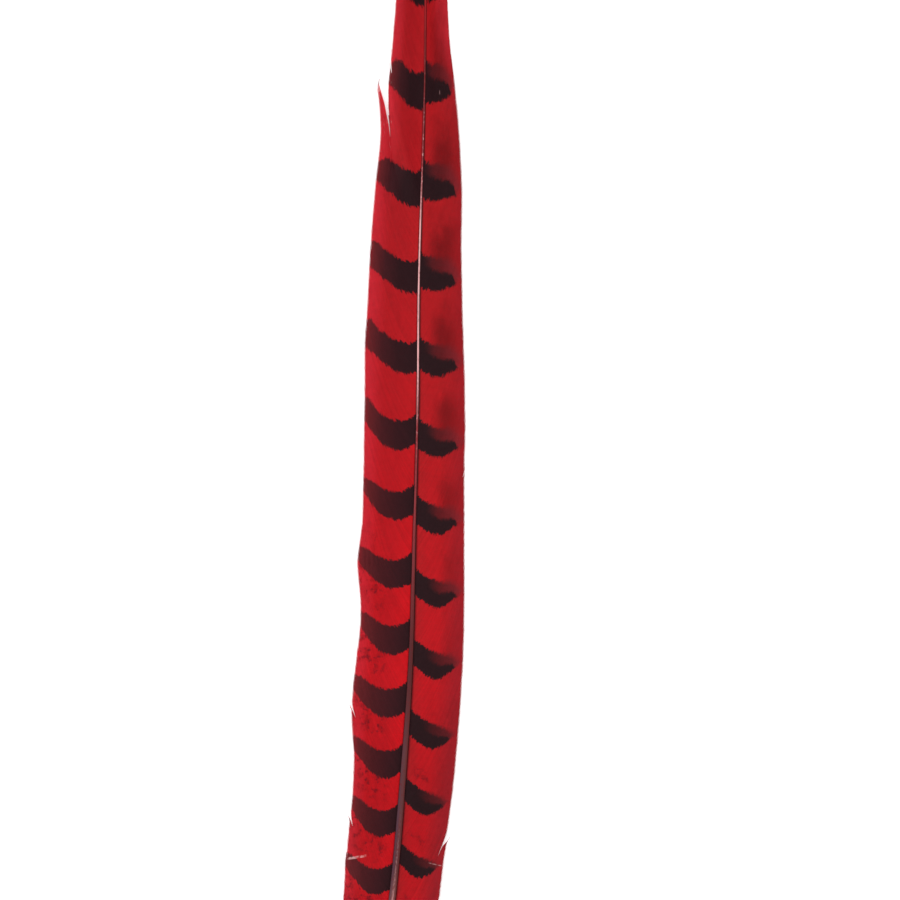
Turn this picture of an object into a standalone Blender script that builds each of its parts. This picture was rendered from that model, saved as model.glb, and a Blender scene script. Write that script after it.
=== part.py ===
"""A pheasant's tail feather, lying top side up: a shaft, two vanes and two tufts of basal down.

Metres, +Z up. +Y runs from the quill to the tip, and the origin is under the middle of the whole feather's box.
A station is a distance along +Y from the quill's end. Each piece is a loft of rings, one per station, and is
built with the surface that it lies on at height 0 and the quill's end at station 0, then moved over the origin.
"""

import bisect
import math

import bmesh
import bpy
from mathutils import Vector

# Lengths along the feather
LENGTH = 0.510
QUILL_TIP = 0.004  # the quill's end is rounded over this length
DOWN_START = 0.034
DOWN_END = 0.070
VANE_START = 0.071
VANE_END = 0.494
FLAT_START = 0.060  # the shaft's underside is flat from here on, and lies on the surface up to ARCH_START
ARCH_START = 0.135

# Heights
ARCH_RISE = 0.0036  # how far the shaft's underside lifts off the surface between ARCH_START and the tip
CROWN = 0.0005  # how far each vane bulges between the shaft and its outer edge
GAP = 0.0003

# Vanes and down
VANE_THICKNESS = 0.00038
DOWN_HEIGHT = 0.0026
BARB_START = 0.5  # share of a barb's forward sweep that goes evenly with its reach outwards

# Profiles along the feather: (station, value), joined by smooth curves
SIDE_BEND = (
    (0.000, -0.0262), (0.060, -0.0165), (0.105, -0.0100), (0.147, -0.0063), (0.177, -0.0044), (0.215, -0.0033),
    (0.240, -0.0026), (0.260, -0.0022), (0.285, -0.0020), (0.306, -0.0015), (0.330, -0.0007), (0.355, -0.0001),
    (0.390, -0.0001), (0.450, -0.0016), (0.510, -0.0046),
)
SHAFT_HEIGHT = (
    (0.004, 0.0026), (0.030, 0.0036), (0.060, 0.0035), (0.105, 0.0029), (0.180, 0.0024),
    (0.260, 0.0018), (0.350, 0.0013), (0.440, 0.0008), (0.510, 0.0004),
)
SHAFT_WIDTH = (
    (0.004, 0.0028), (0.030, 0.0038), (0.060, 0.0034), (0.105, 0.0027), (0.180, 0.0021),
    (0.260, 0.0015), (0.350, 0.0011), (0.440, 0.0007), (0.510, 0.0004),
)
RIDGE_WIDTH = (
    (0.060, 0.0030), (0.105, 0.0021), (0.125, 0.0020), (0.150, 0.0017), (0.180, 0.0013), (0.205, 0.0010),
    (0.230, 0.0007), (0.330, 0.0005), (0.380, 0.0004), (0.440, 0.0003), (0.510, 0.0002),
)
LEFT_REACH = (
    (0.044, 0.0110), (0.062, 0.0146), (0.090, 0.0146), (0.106, 0.0145), (0.122, 0.0150), (0.1345, 0.0147),
    (0.146, 0.0150), (0.1525, 0.0158), (0.159, 0.0167), (0.168, 0.0169), (0.177, 0.0163), (0.187, 0.0155),
    (0.194, 0.0156), (0.2005, 0.0163), (0.2065, 0.0169), (0.2125, 0.0163), (0.2185, 0.0157), (0.236, 0.0158),
    (0.260, 0.0160), (0.272, 0.0160), (0.284, 0.0153), (0.302, 0.0147), (0.320, 0.0138), (0.332, 0.0131),
    (0.346, 0.0128), (0.356, 0.0104), (0.375, 0.0086), (0.420, 0.0060), (0.470, 0.0034), (0.510, 0.0009),
)
RIGHT_REACH = (
    (0.044, 0.0105), (0.062, 0.0140), (0.090, 0.0139), (0.110, 0.0140), (0.128, 0.0146), (0.140, 0.0152),
    (0.152, 0.0154), (0.1765, 0.0156), (0.190, 0.0155), (0.206, 0.0151), (0.2185, 0.0148), (0.2305, 0.0144),
    (0.248, 0.0142), (0.260, 0.0139), (0.272, 0.0134), (0.290, 0.0127), (0.302, 0.0122), (0.314, 0.0120),
    (0.326, 0.0113), (0.338, 0.0101), (0.350, 0.0087), (0.362, 0.0070), (0.375, 0.0062), (0.420, 0.0047),
    (0.470, 0.0028), (0.510, 0.0009),
)
BARB_SWEEP = (
    (0.034, 0.008), (0.071, 0.024), (0.110, 0.036), (0.300, 0.038), (0.420, 0.026), (0.494, 0.014),
)
EDGE_LIFT = (
    (0.071, 0.0012), (0.110, 0.0006), (0.160, 0.0), (0.440, 0.0), (0.510, 0.0002),
)

# How the pieces are divided
SHAFT_STATIONS = 74
VANE_STATIONS = 84
DOWN_STATIONS = 16
ACROSS = 6


def smooth(points, station):
    """The value at a station of the smooth curve through points, level with its ends beyond them."""
    stations = [p[0] for p in points]
    if station <= stations[0]:
        return points[0][1]
    if station >= stations[-1]:
        return points[-1][1]
    i = bisect.bisect_right(stations, station) - 1
    (x0, y0), (x1, y1) = points[i], points[i + 1]
    before, after = points[max(i - 1, 0)], points[min(i + 2, len(points) - 1)]
    slope0 = (y1 - before[1]) / (x1 - before[0])
    slope1 = (after[1] - y0) / (after[0] - x0)
    width = x1 - x0
    t = (station - x0) / width
    return (
        (1 + 2 * t) * (1 - t) ** 2 * y0
        + t * (1 - t) ** 2 * width * slope0
        + t * t * (3 - 2 * t) * y1
        + t * t * (t - 1) * width * slope1
    )


def spread(first, last, count):
    """count stations from first to last, evenly spaced."""
    return [first + (last - first) * i / (count - 1) for i in range(count)]


def arch(station):
    """Height of the shaft's underside over the surface."""
    if station <= ARCH_START:
        return 0.0
    turn = math.pi * (station - ARCH_START) / (LENGTH - ARCH_START)
    return ARCH_RISE * math.sin(turn) ** 2


def barb_point(root, across, reach, side, inner):
    """(x, y) of the point that is a share across of the way along the barb rooted at a station."""
    forward = BARB_START * across + (1 - BARB_START) * across**2
    station = root + smooth(BARB_SWEEP, root) * forward
    outward = inner + (smooth(reach, station) - inner) * across
    return smooth(SIDE_BEND, station) + side * outward, station


def shaft_ring(station):
    """A section of the shaft: round at the quill, and flat below with a narrow ridge on top along the rachis."""
    height, width = smooth(SHAFT_HEIGHT, station), smooth(SHAFT_WIDTH, station)
    ridge = min(smooth(RIDGE_WIDTH, station), width)
    rachis = [
        (0.28, 0.00), (0.47, 0.16), (0.50, 0.40), (0.46, 0.58), (0.50, 0.66), (0.50, 0.84), (0.30, 1.00),
    ]
    blend = min(max((station - DOWN_START) / (FLAT_START - DOWN_START), 0.0), 1.0)
    half = []
    for i, (out, up) in enumerate(rachis):
        turn = math.pi * (i + 0.5) / len(rachis)
        wide = ridge if i >= 4 else width
        round_out, round_up = 0.5 * width * math.sin(turn), 0.5 - 0.5 * math.cos(turn)
        half.append((
            round_out + (out * wide - round_out) * blend,
            height * (round_up + (up - round_up) * blend),
        ))
    middle, base = smooth(SIDE_BEND, station), arch(station)
    points = half + [(-out, up) for out, up in reversed(half)]
    return [Vector((middle + out, station, base + up)) for out, up in points]


def quill_tip_ring(share):
    """A ring of the quill's rounded end: share 0 is its very end and 1 is its full section."""
    full = shaft_ring(QUILL_TIP)
    middle = sum(full, Vector()) / len(full)
    scale = 0.3 + 0.7 * math.sin(0.5 * math.pi * share)
    return [
        Vector((
            middle.x + (p.x - middle.x) * scale,
            QUILL_TIP * share,
            middle.z + (p.z - middle.z) * scale,
        ))
        for p in full
    ]


def vane_height(root, station, across):
    """Height of a vane's underside: from the shaft's shoulder, over a low crown, down to the outer edge."""
    shoulder = arch(root) + 0.68 * smooth(SHAFT_HEIGHT, root) + GAP
    edge = max(smooth(EDGE_LIFT, station), 0.0)
    fall = across**1.5
    return shoulder + (edge - shoulder) * fall + CROWN * math.sin(math.pi * across)


def vane_ring(root, reach, side):
    """One barb of a vane's sheet, out along its underside and back along its top."""
    inner = 0.5 * smooth(RIDGE_WIDTH, root) + GAP
    under, top = [], []
    for i in range(ACROSS + 1):
        across = i / ACROSS
        x, y = barb_point(root, across, reach, side, inner)
        z = vane_height(root, y, across)
        under.append(Vector((x, y, z)))
        top.append(Vector((x, y, z + VANE_THICKNESS * (1 - 0.3 * across))))
    return under + top[::-1]


def down_ring(root, reach, side):
    """One barb of a tuft's plain outline, which lies on the surface and thins towards its tips."""
    inner = 0.5 * smooth(SHAFT_WIDTH, root) + GAP
    under, top = [], []
    for i in range(ACROSS + 1):
        across = i / ACROSS
        x, y = barb_point(root, across, reach, side, inner)
        under.append(Vector((x, y, 0.0)))
        top.append(Vector((x, y, DOWN_HEIGHT * (1 - 0.65 * across**2))))
    return under + top[::-1]


def loft(name, rings, material):
    """A closed object through rings of the same number of points, capped at both ends, facing out."""
    mesh = bmesh.new()
    rows = [[mesh.verts.new(p) for p in ring] for ring in rings]
    for row, after in zip(rows, rows[1:]):
        for i in range(len(row)):
            j = (i + 1) % len(row)
            mesh.faces.new((row[i], row[j], after[j], after[i]))
    mesh.faces.new(rows[0][::-1])
    mesh.faces.new(rows[-1])
    bmesh.ops.triangulate(mesh, faces=mesh.faces[:])
    bmesh.ops.recalc_face_normals(mesh, faces=mesh.faces[:])
    data = bpy.data.meshes.new(name)
    mesh.to_mesh(data)
    mesh.free()
    data.shade_smooth()
    data.set_sharp_from_angle(angle=math.radians(35))
    data.materials.append(material)
    made = bpy.data.objects.new(name, data)
    bpy.context.collection.objects.link(made)
    return made


def plain_material(name, colour, roughness):
    material = bpy.data.materials.new(name)
    material.use_nodes = True
    shader = material.node_tree.nodes["Principled BSDF"]
    shader.inputs["Base Color"].default_value = (*colour, 1.0)
    shader.inputs["Roughness"].default_value = roughness
    shader.inputs["Metallic"].default_value = 0.0
    return material


def make_shaft():
    rings = [quill_tip_ring(share) for share in (0.0, 0.2, 0.5)]
    rings += [shaft_ring(s) for s in spread(QUILL_TIP, LENGTH, SHAFT_STATIONS)]
    return loft("shaft", rings, plain_material("shaft_horn", (0.40, 0.24, 0.22), 0.35))


def make_vane(name, reach, side):
    rings = [vane_ring(s, reach, side) for s in spread(VANE_START, VANE_END, VANE_STATIONS)]
    return loft(name, rings, plain_material(name + "_barbs", (0.42, 0.012, 0.018), 0.6))


def make_down(name, reach, side):
    rings = [down_ring(s, reach, side) for s in spread(DOWN_START, DOWN_END, DOWN_STATIONS)]
    return loft(name, rings, plain_material(name + "_fluff", (0.55, 0.03, 0.04), 0.85))


def centre_over_origin(objects):
    """Moves the meshes so that the origin is under the middle of their common box, at its lowest height."""
    points = [v.co for made in objects for v in made.data.vertices]
    low = Vector(min(p[i] for p in points) for i in range(3))
    high = Vector(max(p[i] for p in points) for i in range(3))
    shift = Vector((-(low.x + high.x) / 2, -(low.y + high.y) / 2, -low.z))
    for made in objects:
        for vertex in made.data.vertices:
            vertex.co += shift


def main():
    for old in list(bpy.data.objects):
        bpy.data.objects.remove(old, do_unlink=True)
    centre_over_origin([
        make_shaft(),
        make_vane("left_vane", LEFT_REACH, -1),
        make_vane("right_vane", RIGHT_REACH, 1),
        make_down("left_down", LEFT_REACH, -1),
        make_down("right_down", RIGHT_REACH, 1),
    ])


main()
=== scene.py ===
"""A pheasant's tail feather, dyed red: a horn shaft, two barred vanes of separate barbs and two tufts of down.

Metres, +Z up. +Y runs from the quill to the tip. A station is a distance along +Y from the quill's end, and a
share across is 0 at the shaft and 1 at a barb's tip.
"""

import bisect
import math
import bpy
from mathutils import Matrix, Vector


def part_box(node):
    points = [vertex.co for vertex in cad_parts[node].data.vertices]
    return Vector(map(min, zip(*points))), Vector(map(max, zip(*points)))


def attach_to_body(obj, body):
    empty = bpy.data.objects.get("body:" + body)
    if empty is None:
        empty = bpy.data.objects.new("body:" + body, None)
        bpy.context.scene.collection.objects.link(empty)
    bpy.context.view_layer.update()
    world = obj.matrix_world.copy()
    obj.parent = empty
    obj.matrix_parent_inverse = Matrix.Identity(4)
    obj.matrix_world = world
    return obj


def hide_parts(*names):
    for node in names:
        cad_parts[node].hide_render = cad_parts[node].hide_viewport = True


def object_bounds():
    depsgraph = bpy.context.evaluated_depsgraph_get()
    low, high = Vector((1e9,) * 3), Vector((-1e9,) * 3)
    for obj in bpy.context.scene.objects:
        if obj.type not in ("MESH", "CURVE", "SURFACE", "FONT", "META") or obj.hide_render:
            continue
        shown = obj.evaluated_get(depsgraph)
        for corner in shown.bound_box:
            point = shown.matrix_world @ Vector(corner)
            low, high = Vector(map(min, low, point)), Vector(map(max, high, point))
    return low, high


bl_info = {
    "name": "Pheasant Tail Feather",
    "version": (1, 0, 0),
    "blender": (4, 5, 0),
    "location": "3D View > Sidebar > Feather",
    "description": "Builds a red-dyed, dark-barred pheasant tail feather lying on a pale table",
    "category": "Add Mesh",
}

import bmesh
import bpy
import numpy as np
from mathutils import Vector

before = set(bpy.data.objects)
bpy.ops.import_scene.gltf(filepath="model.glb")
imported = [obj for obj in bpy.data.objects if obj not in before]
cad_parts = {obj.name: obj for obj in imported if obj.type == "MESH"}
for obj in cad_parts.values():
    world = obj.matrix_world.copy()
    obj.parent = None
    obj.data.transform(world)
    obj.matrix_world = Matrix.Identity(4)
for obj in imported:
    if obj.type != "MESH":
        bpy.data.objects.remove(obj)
CAD_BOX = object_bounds()
SHAFT_LOW, SHAFT_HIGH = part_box("shaft")
LENGTH = SHAFT_HIGH[1] - SHAFT_LOW[1]

# Lengths along the feather
QUILL_TIP = 0.004
DOWN_START = 0.034
DOWN_END = 0.078
FLAT_START = 0.060
ARCH_START = 0.135
VANE_START = 0.071
VANE_END = 0.494

# Heights and shapes shared by the pieces
ARCH_RISE = 0.0036
BARB_START = 0.5  # share of a barb's forward sweep that goes evenly with its reach outwards
LEFT, RIGHT = -1, 1

# Profiles along the feather: (station, value), joined by smooth curves
SIDE_BEND = (
    (0.000, -0.0262), (0.060, -0.0165), (0.105, -0.0100), (0.147, -0.0063), (0.177, -0.0044), (0.215, -0.0033),
    (0.240, -0.0026), (0.260, -0.0022), (0.285, -0.0020), (0.306, -0.0015), (0.330, -0.0007), (0.355, -0.0001),
    (0.390, -0.0001), (0.450, -0.0016), (0.510, -0.0046),
)
SHAFT_HEIGHT = (
    (0.004, 0.0026), (0.030, 0.0036), (0.060, 0.0035), (0.105, 0.0029), (0.180, 0.0024),
    (0.260, 0.0018), (0.350, 0.0013), (0.440, 0.0008), (0.510, 0.0004),
)
SHAFT_WIDTH = (
    (0.004, 0.0028), (0.030, 0.0038), (0.060, 0.0034), (0.105, 0.0027), (0.180, 0.0021),
    (0.260, 0.0015), (0.350, 0.0011), (0.440, 0.0007), (0.510, 0.0004),
)
RIDGE_WIDTH = (
    (0.060, 0.0030), (0.105, 0.0021), (0.125, 0.0020), (0.150, 0.0017), (0.180, 0.0013), (0.205, 0.0010),
    (0.230, 0.0007), (0.330, 0.0005), (0.380, 0.0004), (0.440, 0.0003), (0.510, 0.0002),
)
LEFT_REACH = (
    (0.044, 0.0110), (0.062, 0.0146), (0.090, 0.0146), (0.106, 0.0145), (0.122, 0.0150), (0.1345, 0.0147),
    (0.146, 0.0150), (0.1525, 0.0158), (0.159, 0.0167), (0.168, 0.0169), (0.177, 0.0163), (0.187, 0.0155),
    (0.194, 0.0156), (0.2005, 0.0163), (0.2065, 0.0169), (0.2125, 0.0163), (0.2185, 0.0157), (0.236, 0.0158),
    (0.260, 0.0160), (0.272, 0.0160), (0.284, 0.0153), (0.302, 0.0147), (0.320, 0.0138), (0.332, 0.0129),
    (0.338, 0.0128), (0.344, 0.0133), (0.351, 0.0140), (0.358, 0.0104), (0.375, 0.0086), (0.420, 0.0060),
    (0.470, 0.0034), (0.510, 0.0009),
)
LEFT_TIP_REACH = (
    (0.320, 0.0097), (0.333, 0.0099), (0.340, 0.0103), (0.350, 0.0106), (0.356, 0.0101), (0.375, 0.0086),
    (0.420, 0.0060), (0.470, 0.0034), (0.510, 0.0009),
)
RIGHT_REACH = (
    (0.044, 0.0105), (0.062, 0.0140), (0.090, 0.0139), (0.110, 0.0140), (0.128, 0.0146), (0.140, 0.0152),
    (0.152, 0.0154), (0.1765, 0.0156), (0.190, 0.0155), (0.206, 0.0151), (0.2185, 0.0148), (0.2305, 0.0144),
    (0.248, 0.0142), (0.260, 0.0139), (0.272, 0.0134), (0.290, 0.0127), (0.302, 0.0122), (0.314, 0.0120),
    (0.326, 0.0113), (0.338, 0.0101), (0.350, 0.0087), (0.362, 0.0070), (0.375, 0.0062), (0.420, 0.0047),
    (0.470, 0.0028), (0.510, 0.0009),
)
BARB_SWEEP = (
    (0.034, 0.008), (0.071, 0.024), (0.110, 0.036), (0.300, 0.038), (0.420, 0.026), (0.494, 0.014),
)
EDGE_LIFT = (
    (0.071, 0.0012), (0.110, 0.0006), (0.160, 0.0), (0.440, 0.0), (0.510, 0.0002),
)

# The dark bars: (station where a bar meets the shaft, its number), numbered from the upper stretch to the quill
LEFT_BARS = (
    (0.0600, 15.0), (0.1116, 12.0), (0.1467, 10.0), (0.1842, 8.0), (0.2246, 6.0), (0.2676, 4.0),
    (0.3182, 2.0), (0.3789, 0.0), (0.4450, -2.0), (0.5100, -4.0),
)
RIGHT_BARS = (
    (0.0620, 14.0), (0.0998, 12.0), (0.1376, 10.0), (0.1788, 8.0), (0.2214, 6.0), (0.2682, 4.0),
    (0.3206, 2.0), (0.3810, 0.0), (0.4460, -2.0), (0.5100, -4.0),
)
# How much nearer to the quill a bar's middle lies than at the shaft, by share across
LEFT_SWAY_TIP = (
    (0.0, -0.0003), (0.1, 0.0), (0.2, 0.0), (0.35, -0.0006), (0.5, -0.0017), (0.65, -0.0036), (0.8, -0.0051),
    (0.9, -0.0057), (1.0, -0.0059),
)
LEFT_SWAY_BASE = (
    (0.0, -0.0010), (0.1, 0.0), (0.2, 0.0009), (0.35, 0.0014), (0.5, 0.0010), (0.65, -0.0001), (0.8, -0.0022),
    (0.9, -0.0036), (1.0, -0.0052),
)
RIGHT_SWAY_TIP = (
    (0.0, -0.0009), (0.1, 0.0), (0.2, 0.0002), (0.35, 0.0001), (0.5, -0.0003), (0.65, -0.0004), (0.8, 0.0002),
    (0.9, 0.0008), (1.0, 0.0012),
)
RIGHT_SWAY_BASE = (
    (0.0, -0.0012), (0.1, 0.0002), (0.2, 0.0015), (0.35, 0.0031), (0.5, 0.0041), (0.65, 0.0043), (0.8, 0.0041),
    (0.9, 0.0037), (1.0, 0.0032),
)
# A bar's thickness as a share of the spacing between bars, by station, and how it changes across
LEFT_THICKNESS = ((0.112, 0.45), (0.165, 0.47), (0.205, 0.43), (0.270, 0.40), (0.345, 0.375))
RIGHT_THICKNESS = ((0.118, 0.35), (0.150, 0.385), (0.268, 0.39), (0.345, 0.40))
LEFT_TAPER_TIP = (
    (0.0, 1.1), (0.1, 1.0), (0.35, 0.96), (0.5, 0.92), (0.65, 0.90), (0.8, 0.86), (0.9, 0.76), (1.0, 0.50),
)
LEFT_TAPER_BASE = (
    (0.0, 1.1), (0.1, 1.0), (0.35, 1.0), (0.5, 0.97), (0.65, 0.93), (0.8, 0.82), (0.9, 0.72), (1.0, 0.50),
)
RIGHT_TAPER_TIP = (
    (0.0, 1.1), (0.1, 1.03), (0.35, 0.97), (0.5, 0.94), (0.65, 0.88), (0.8, 0.73), (0.9, 0.50), (1.0, 0.10),
)
RIGHT_TAPER_BASE = (
    (0.0, 1.0), (0.1, 0.94), (0.35, 1.0), (0.5, 0.98), (0.65, 0.80), (0.8, 0.48), (0.9, 0.15), (1.0, -0.20),
)

# Where barbs have come unhooked: the root station, the share across where the gap opens, how far the barbs
# above and below it bend outwards at their tips, and over what length of roots that fades
LEFT_SPLITS = (
    (0.1272, 0.93, -0.0001, 0.0010, 0.0007),
    (0.0971, 0.93, -0.0001, 0.0012, 0.0007),
    (0.3205, 0.88, -0.0004, 0.0004, 0.0008),
)
RIGHT_SPLITS = (
    (0.0925, 0.87, -0.0004, 0.0018, 0.0011),
    (0.1950, 0.96, -0.0005, 0.0, 0.0006),
)
LEFT_TEAR = 0.3060  # the long split: barbs rooted past it lean in, and those below it end in a thin sliver
TEAR_OPENS = 0.67
SLIVER_SWEEP = 0.0106  # how much further towards the tip the sliver's barbs reach
SLIVER_FADE = 0.022  # over what length of roots that fades
LEFT_CREASE = 0.1176  # station of a fold across the left vane's outer half; the vane bulges out just below it
CREASE_BULGE = 0.0004
TIP_EXTRA = 0.0003  # a barb's tip thins to nothing over this much of its reach

# The loose barbs at a vane's base: the share of the vane they fill, and at most how far they stray along it
# (in shares of its length), how much they shorten (in shares of a barb) and how high they lift (in metres)
LOOSE_SHARE = 0.020
LOOSE_STRAY = 0.004
LOOSE_SHORTER = 0.10
LOOSE_LIFT = 0.002
MAP_MARGIN = 0.0004  # nothing is read closer than this to the edge of a vane's map

# Scuffs: ((share across, station), (half the length, half the width), slant, strength)
LEFT_SCUFFS = (((0.76, 0.1174), (0.20, 0.00050), -0.0030, 0.75),)
RIGHT_SCUFFS = (
    ((0.81, 0.1152), (0.17, 0.00020), -0.0035, 0.45),
    ((0.47, 0.3473), (0.012, 0.0009), 0.0, 0.35),
)


def display(red, green, blue):
    """A scene colour from display values of 0 to 255."""
    return tuple(
        v / 12.92 if v <= 0.04045 else ((v + 0.055) / 1.055) ** 2.4
        for v in (red / 255, green / 255, blue / 255)
    )


def colour_property(name, description, default):
    return bpy.props.FloatVectorProperty(
        name=name, description=description, default=default, subtype="COLOR", size=3, min=0.0, max=1.0
    )


def length_property(name, description, default, **limits):
    return bpy.props.FloatProperty(
        name=name, description=description, default=default, subtype="DISTANCE", unit="LENGTH", **limits
    )


class FeatherShape(bpy.types.PropertyGroup):
    """Sizes of the barbs, the down and the shaft."""

    barb_spacing: length_property(
        "Barb Spacing", "Distance between barbs along the shaft", 0.00046, min=0.0003
    )
    barb_overlap: bpy.props.FloatProperty(
        name="Barb Overlap", description="A barb's width as a multiple of the spacing", default=1.35, min=0.5,
    )
    barb_thickness: length_property(
        "Barb Thickness", "Height of a barb's ridge over its edges", 0.00012, min=0.00002
    )
    crown: length_property(
        "Vane Crown", "How far each vane bulges between the shaft and its outer edge", 0.0005
    )
    wave: length_property("Vane Waves", "Height of the slow waves along a vane's outer edge", 0.0005)
    raggedness: bpy.props.FloatProperty(
        name="Raggedness", description="How much shorter the shortest barbs are, as a share of a barb",
        default=0.012, subtype="FACTOR",
    )
    strands: bpy.props.IntProperty(
        name="Down Strands", description="Strands of down on each side of the shaft", default=135, min=10,
    )
    strand_thickness: length_property(
        "Strand Thickness", "Thickness of a strand of down at its root", 0.00005
    )
    waviness: length_property("Down Waviness", "How far the strands of down curl off their way", 0.0055)
    barbule_length: length_property("Barbule Length", "Length of the fine hairs on a strand of down", 0.0021)
    barbule_spacing: length_property(
        "Barbule Spacing", "Distance between the fine hairs along a strand of down", 0.00016
    )


class FeatherColours(bpy.types.PropertyGroup):
    """Colours of the dyed barbs, the bars, the down and the horn, with some of them used for painted shade and
    sheen.
    """

    red_bright: colour_property("Bright Red", "The dye beside the shaft, near the base", display(200, 10, 22))
    red_root: colour_property("Root Red", "The dye beside the shaft, towards the tip", display(173, 20, 27))
    red_glow: colour_property("Glowing Red", "The middle of the vanes, towards the base", display(188, 14, 25))
    red_middle: colour_property("Middle Red", "The middle of the vanes, towards the tip", display(167, 19, 27))
    # Painted shade on the right vane, in a band above each bar. This colour also darkens the dye's mottle and
    # specks
    red_shade_and_mottle: colour_property("Shaded Red", "The darkest patches of the right vane", display(130, 8, 15))
    # At the left vane's outer edge this paler red is partly painted light, where the edge turns towards the
    # light
    red_edge: colour_property("Pale Red", "The dye at the left vane's outer edge", display(198, 36, 50))
    red_rim: colour_property("Rim Red", "The dye at the right vane's outer edge", display(159, 20, 31))
    # Also used for painted shade along the shaft's ridge edges and in the right vane's wider dark root band
    bar_core: colour_property("Bar", "The dark bars beside the shaft", display(38, 12, 17))
    bar_middle: colour_property("Thin Bar", "The bars two thirds of the way across", display(60, 18, 24))
    bar_brown: colour_property("Brown Bar", "The bars' middle towards the base", display(76, 21, 26))
    bar_end: colour_property("Bar End", "The bars' outer ends, where dye shows through", display(98, 27, 32))
    bar_faded: colour_property("Faded Bar", "The bars at the very edge", display(136, 30, 38))
    bar_patch: colour_property("Bar Patch", "The thin red patch in the right vane's bars", display(98, 18, 24))
    speck: colour_property("Speck", "The dark specks below the left vane's bars", display(88, 10, 26))
    pale_mark: colour_property("Pale Mark", "The small scuffs near the base", display(228, 176, 174))
    horn_quill: colour_property("Quill", "The bare quill and the shaft just above it", display(178, 120, 114))
    horn_grey: colour_property("Grey Horn", "The shaft between its quill and brown stretch", display(88, 46, 50))
    horn_brown: colour_property("Brown Horn", "The shaft's lower stretch", display(80, 26, 30))
    horn_rose: colour_property("Rose Horn", "Where the brown horn turns pale", display(138, 46, 52))
    horn_pale: colour_property("Pale Horn", "The shaft's middle stretch", display(232, 170, 170))
    horn_dark: colour_property("Dark Horn", "The shaft's thin upper part and its flecks", display(104, 10, 16))
    # Painted sheen: the light on the shaft's left flank, which faces the light
    horn_sheen: colour_property("Cool Horn", "The sheen of the shaft's left flank", display(66, 42, 60))
    # Painted shade on the shaft's right flank and in its underside groove; also the warm fibres in the horn
    horn_fibres_and_shade: colour_property("Warm Horn", "The brown of the shaft's right flank", display(92, 28, 20))
    horn_under: colour_property("Horn Underside", "The grooved side, facing the table", display(206, 142, 136))
    down_pale: colour_property("Pale Down", "The down beside the quill", display(222, 120, 126))
    down_red: colour_property("Red Down", "The down's tips", display(196, 36, 48))


class StageSettings(bpy.types.PropertyGroup):
    """The table, the light and the camera."""

    floor_size: length_property("Table Size", "Side of the square pale table", 8.0)
    floor_glow: bpy.props.FloatProperty(
        name="Table Glow", description="Light that comes up through the table", default=0.35, min=0.0,
    )
    view_height: length_property("View Height", "Length of feather that the camera takes in", 0.270)
    view_station: length_property("View Station", "Station that the camera looks down on", 0.240)
    view_aside: length_property(
        "View Aside", "How far right of the shaft's straight stretch the camera stands", 0.0075
    )
    lens: bpy.props.FloatProperty(name="Lens", description="The camera's focal length in mm", default=85.0)
    sky: bpy.props.FloatProperty(name="Sky Strength", description="Even light from all round", default=1.0)
    key_power: bpy.props.FloatProperty(
        name="Key Power", description="The soft light from the upper left", default=5.0, unit="POWER",
    )


# ---------------------------------------------------------------- shape of the whole feather


def smooth(points, station):
    """The value at a station of the smooth curve through points, level with its ends beyond them."""
    stations = [p[0] for p in points]
    if station <= stations[0]:
        return points[0][1]
    if station >= stations[-1]:
        return points[-1][1]
    i = bisect.bisect_right(stations, station) - 1
    (x0, y0), (x1, y1) = points[i], points[i + 1]
    before, after = points[max(i - 1, 0)], points[min(i + 2, len(points) - 1)]
    slope0 = (y1 - before[1]) / (x1 - before[0])
    slope1 = (after[1] - y0) / (after[0] - x0)
    width = x1 - x0
    t = (station - x0) / width
    return (
        (1 + 2 * t) * (1 - t) ** 2 * y0
        + t * (1 - t) ** 2 * width * slope0
        + t * t * (3 - 2 * t) * y1
        + t * t * (t - 1) * width * slope1
    )


def spread(first, last, count):
    """count numbers from first to last, evenly spaced."""
    return [first + (last - first) * i / (count - 1) for i in range(count)]


def ease(low, high, value):
    """0 below low, 1 above high and a smooth rise between."""
    t = min(max((value - low) / (high - low), 0.0), 1.0)
    return t * t * (3 - 2 * t)


def side_bend(station):
    return SHIFT_X + smooth(SIDE_BEND, station)


def arch(station):
    """Height of the shaft's underside over the surface."""
    if station <= ARCH_START:
        return 0.0
    turn = math.pi * (station - ARCH_START) / (LENGTH - ARCH_START)
    return ARCH_RISE * math.sin(turn) ** 2


def widest_right():
    """The shaft's furthest reach to the right in its own measure, which ties that measure to the frame."""
    stations = spread(QUILL_TIP, LENGTH, 74)
    return max(smooth(SIDE_BEND, s) + 0.5 * smooth(SHAFT_WIDTH, s) for s in stations)


SHIFT_X = SHAFT_HIGH[0] - widest_right()
SHIFT_Y = SHAFT_LOW[1]


# ---------------------------------------------------------------- nodes


class Value:
    """A node's output. Sums and products of these make Math nodes."""

    def __init__(self, tree, socket):
        self.tree, self.socket = tree, socket

    def __add__(self, other):
        return math_node("ADD", self, other)

    def __sub__(self, other):
        return math_node("SUBTRACT", self, other)

    def __rsub__(self, other):
        return math_node("SUBTRACT", other, self)

    def __mul__(self, other):
        return math_node("MULTIPLY", self, other)

    def __truediv__(self, other):
        return math_node("DIVIDE", self, other)

    def __abs__(self):
        return math_node("ABSOLUTE", self)


def tree_of(*values):
    """The tree of the first node output among values."""
    return next(value.tree for value in values if isinstance(value, Value))


def node(tree, kind, inputs=(), **settings):
    """A new node. inputs are plain values or other nodes' outputs, in socket order or by socket name."""
    made = tree.nodes.new(kind)
    for key, value in settings.items():
        setattr(made, key, value)
    pairs = inputs.items() if isinstance(inputs, dict) else enumerate(inputs)
    for key, value in pairs:
        if isinstance(value, Value):
            tree.links.new(value.socket, made.inputs[key])
        else:
            made.inputs[key].default_value = value
    return made


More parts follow.
